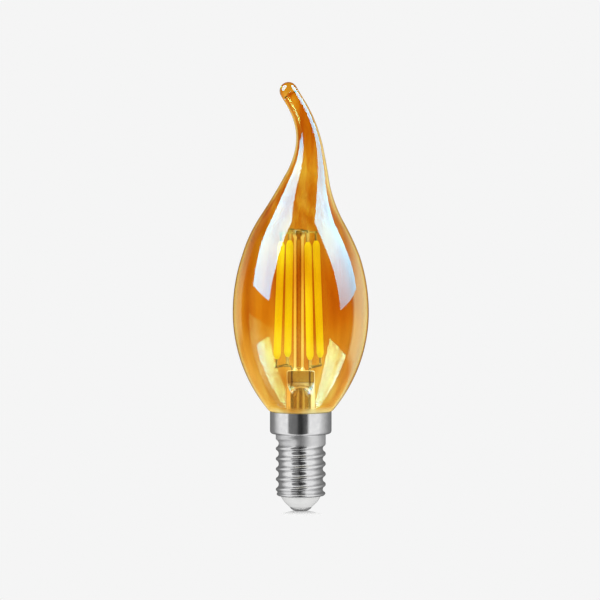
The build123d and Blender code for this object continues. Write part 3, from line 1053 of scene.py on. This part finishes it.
def softbox(name, corners, low_colour, high_colour, in_faces, distance=softbox_distance):
    """Panel with its corners in the given directions, seen only by way of mirror-smooth glass.

    It shows in the glass's outer faces, or else through it, and its colour changes from low to high.
    """
    material = bpy.data.materials.new(name)
    material.use_nodes = True
    tree = material.node_tree
    tree.nodes.remove(tree.nodes["Principled BSDF"])
    path = tree.nodes.new("ShaderNodeLightPath")
    depth = path.outputs["Ray Depth"]
    # The outer face mirrors a ray at its first bounce, and one from the far wall comes out at its fifth
    near = calculate(tree, "LESS_THAN", depth, 1.5)
    far = calculate(tree, "GREATER_THAN", depth, 4.5)
    far = calculate(tree, "MULTIPLY", far, calculate(tree, "LESS_THAN", depth, 5.5))
    seen = calculate(tree, "MULTIPLY", path.outputs["Is Singular Ray"], near if in_faces else far)
    glow = add_node(tree, "ShaderNodeEmission", Strength=1.0)
    height = height_share(tree, glass_middle, softbox_top)
    tree.links.new(ramp(tree, height, (0.0, low_colour), (1.0, high_colour)), glow.inputs["Color"])
    nothing = tree.nodes.new("ShaderNodeBsdfTransparent")
    choose_surface(tree, seen, nothing.outputs["BSDF"], glow.outputs["Emission"])
    places = [towards(azimuth, elevation, distance) for azimuth, elevation in corners]
    panel = mesh_object(name, places, [range(len(places))], material)
    panel.visible_camera = False
    panel.visible_diffuse = False
    panel.visible_shadow = False
    panel.visible_glossy = in_faces
    panel.visible_transmission = not in_faces


softbox("left_softbox", ((-55, 4), (-92, 9), (-110, 45), (-100, 70), (-33, 58)), SKY_BLUE, WHITE, True)
softbox("right_softbox", ((70, -2), (112, 5), (117, 45), (100, 70), (50, 55)), DULL_BLUE, PALE_BLUE, True)
softbox("left_softbox_inside", ((-58, 14), (-107, 15.5), (-107, 75), (-45, 75)), CREAM, CREAM, False)
softbox("right_softbox_inside", ((63, 12), (98, 12), (98, 75), (45, 75)), DEEP_CREAM, DEEP_CREAM, False)
haze_corners = ((54, 9), (80, 2), (109, -3), (118, 40), (118, 75), (45, 75))
softbox("right_haze_inside", haze_corners, HAZE, HAZE, False, haze_distance)

# Floor: a pale round patch that falls away from the contact and fades out into the surroundings
floor_flat = 1.7
floor_radius = 10
floor_fall = 2
floor_cover = 0.8
floor_fade_start = 2.5
floor_fade_end = 6.5
floor_material, floor_tree, floor_shader = new_shader(
    "pale_floor", Base_Color=(0.9, 0.9, 0.9, 1), Roughness=0.9, Specular_IOR_Level=0.1
)
coordinates = floor_tree.nodes.new("ShaderNodeTexCoord")
from_middle = floor_tree.nodes.new("ShaderNodeVectorMath")
from_middle.operation = "LENGTH"
fade = add_node(
    floor_tree,
    "ShaderNodeMapRange",
    From_Min=floor_fade_start * MM,
    From_Max=floor_fade_end * MM,
    To_Min=floor_cover,
    To_Max=0.0,
)
fade.interpolation_type = "SMOOTHSTEP"
floor_tree.links.new(coordinates.outputs["Object"], from_middle.inputs[0])
floor_tree.links.new(from_middle.outputs["Value"], fade.inputs["Value"])
floor_tree.links.new(fade.outputs["Result"], floor_shader.inputs["Alpha"])
floor_vertices, floor_faces = lathe([(0, 0), (floor_flat, 0), (floor_radius, -floor_fall)])
floor_piece = mesh_object("pale_floor", [v * MM for v in floor_vertices], floor_faces, floor_material)
floor_piece.visible_diffuse = False
floor_piece.visible_glossy = False

# Surroundings: pale to the camera and through the glass, a studio in reflections, and an even fill
PALE = 0.913
THROUGH = 0.88
FILL = 0.8
DARK_ROOM = (0.28, 0.13, 0.04)
AMBER_RIM = (0.6, 0.36, 0.12)
TAN_WALL = (0.9, 0.65, 0.4)
BROWN_WALL = (0.6, 0.32, 0.12)


def golden(level):
    """Light of the backdrop's edges as the glass mirrors it."""
    return (0.72 * level, level, 0.55 * level)


# Levels by azimuth in degrees, from the camera's side towards +X: satin metal sees two bright panels
# with a dark gap between them
studio_levels = (
    (-180, 0.3),
    (-150, 0.15),
    (-112, 0.5),
    (-104, 1.25),
    (-52, 1.25),
    (-46, 0.22),
    (-16, 0.18),
    (-7, 0.02),
    (4, 0.02),
    (12, 0.09),
    (24, 0.11),
    (34, 1.25),
    (74, 1.25),
    (90, 0.42),
    (145, 0.25),
    (180, 0.3),
)
# Away from the middle of the studio it sees softer light, off the ceiling and the table
slope_levels = (
    (-180, 0.12),
    (-120, 0.3),
    (-85, 1.06),
    (-25, 0.98),
    (0, 0.8),
    (25, 1.04),
    (72, 1.06),
    (95, 0.62),
    (125, 0.3),
    (180, 0.12),
)
# Smooth glass mirrors dark surroundings in front and behind, and the golden backdrop's edges between
glass_levels = (
    (-180, DARK_ROOM),
    (-165, DARK_ROOM),
    (-157, AMBER_RIM),
    (-144, golden(1.1)),
    (-124, golden(1.5)),
    (-119, golden(0.08)),
    (-40, golden(0.03)),
    (60, golden(0.03)),
    (99, golden(0.08)),
    (105, golden(4.4)),
    (118, golden(3.9)),
    (132, golden(3.0)),
    (147, golden(1.8)),
    (158, AMBER_RIM),
    (166, DARK_ROOM),
    (180, DARK_ROOM),
)
# Through the glass the surroundings are pale in front and behind, with a dark zone on each side
through_levels = (
    (-180, THROUGH),
    (-157, THROUGH),
    (-148, TAN_WALL),
    (-122, BROWN_WALL),
    (-112, DARK_ROOM),
    (-104, DARK_ROOM),
    (-97, THROUGH),
    (97, THROUGH),
    (104, DARK_ROOM),
    (112, DARK_ROOM),
    (122, BROWN_WALL),
    (148, TAN_WALL),
    (157, THROUGH),
    (180, THROUGH),
)

world = bpy.data.worlds.new("studio")
scene.world = world
world.use_nodes = True
tree = world.node_tree
path = tree.nodes.new("ShaderNodeLightPath")
direction = tree.nodes.new("ShaderNodeTexCoord")
split = tree.nodes.new("ShaderNodeSeparateXYZ")
tree.links.new(direction.outputs["Generated"], split.inputs["Vector"])
# Bearing and rise run from 0 to 1: round the horizon, and from straight down to straight up
toward_camera = calculate(tree, "MULTIPLY", split.outputs["Y"], -1.0)
bearing = share_between(tree, calculate(tree, "ARCTAN2", split.outputs["X"], toward_camera), -pi, pi)
rise = calculate(tree, "MULTIPLY", calculate(tree, "ADD", split.outputs["Z"], 1.0), 0.5)


def by_bearing(levels):
    """Colour of a direction, from levels round the horizon."""
    return ramp(tree, bearing, *[((azimuth + 180) / 360, level) for azimuth, level in levels])


def choose(ray, otherwise, where):
    """One colour for a kind of ray and another for the rest."""
    return blend(tree, path.outputs[ray], otherwise, where)


def squared_distance(value, middle, half):
    """Square of a value's distance from a middle, in half widths."""
    away = calculate(tree, "DIVIDE", calculate(tree, "SUBTRACT", value, middle), half)
    return calculate(tree, "MULTIPLY", away, away)


# The backdrop's edges reach lower on the right than on the left
on_right = calculate(tree, "GREATER_THAN", bearing, 0.5)
left_band = ramp(tree, rise, (0.38, 0.0), (0.43, 1.0), (0.54, 1.0), (0.66, 0.15))
right_band = ramp(tree, rise, (0.28, 0.0), (0.33, 1.0), (0.56, 1.0), (0.68, 0.15))
level_band = blend(tree, on_right, left_band, right_band)
table_glow = ramp(tree, rise, (0.3, (1.4, 0.85, 0.25)), (0.45, (0.05, 0.03, 0.01)))
sides = blend(tree, level_band, table_glow, by_bearing(glass_levels))
# The studio's dark middle shows only inside an oval, so the thread mirrors it as lens shapes
oval_bearing = 0.472
oval_half_width = 0.145
oval_rise = 0.46
oval_half_height = 0.52
oval = calculate(
    tree,
    "ADD",
    squared_distance(bearing, oval_bearing, oval_half_width),
    squared_distance(rise, oval_rise, oval_half_height),
)
horizon = ramp(tree, oval, (0.55, 1.0), (1.0, 0.0))
satin_sees = blend(tree, horizon, by_bearing(slope_levels), by_bearing(studio_levels))
mirrored = choose("Is Singular Ray", satin_sees, sides)
shown = choose("Is Glossy Ray", (FILL,) * 3, mirrored)
shown = choose("Is Transmission Ray", shown, by_bearing(through_levels))
shown = choose("Is Camera Ray", shown, (PALE,) * 3)
tree.links.new(shown, tree.nodes["Background"].inputs["Color"])

# One broad lamp over the front for the matt pieces
lamp_data = bpy.data.lights.new("overhead", "AREA")
lamp_data.shape = "RECTANGLE"
lamp_data.size = 0.8
lamp_data.size_y = 0.6
lamp_data.energy = 5.0
lamp = bpy.data.objects.new("overhead", lamp_data)
lamp.location = (0, -0.5, 0.9)
lamp.rotation_euler = (radians(30), 0, 0)
lamp.visible_glossy = False
lamp.visible_transmission = False
scene.collection.objects.link(lamp)
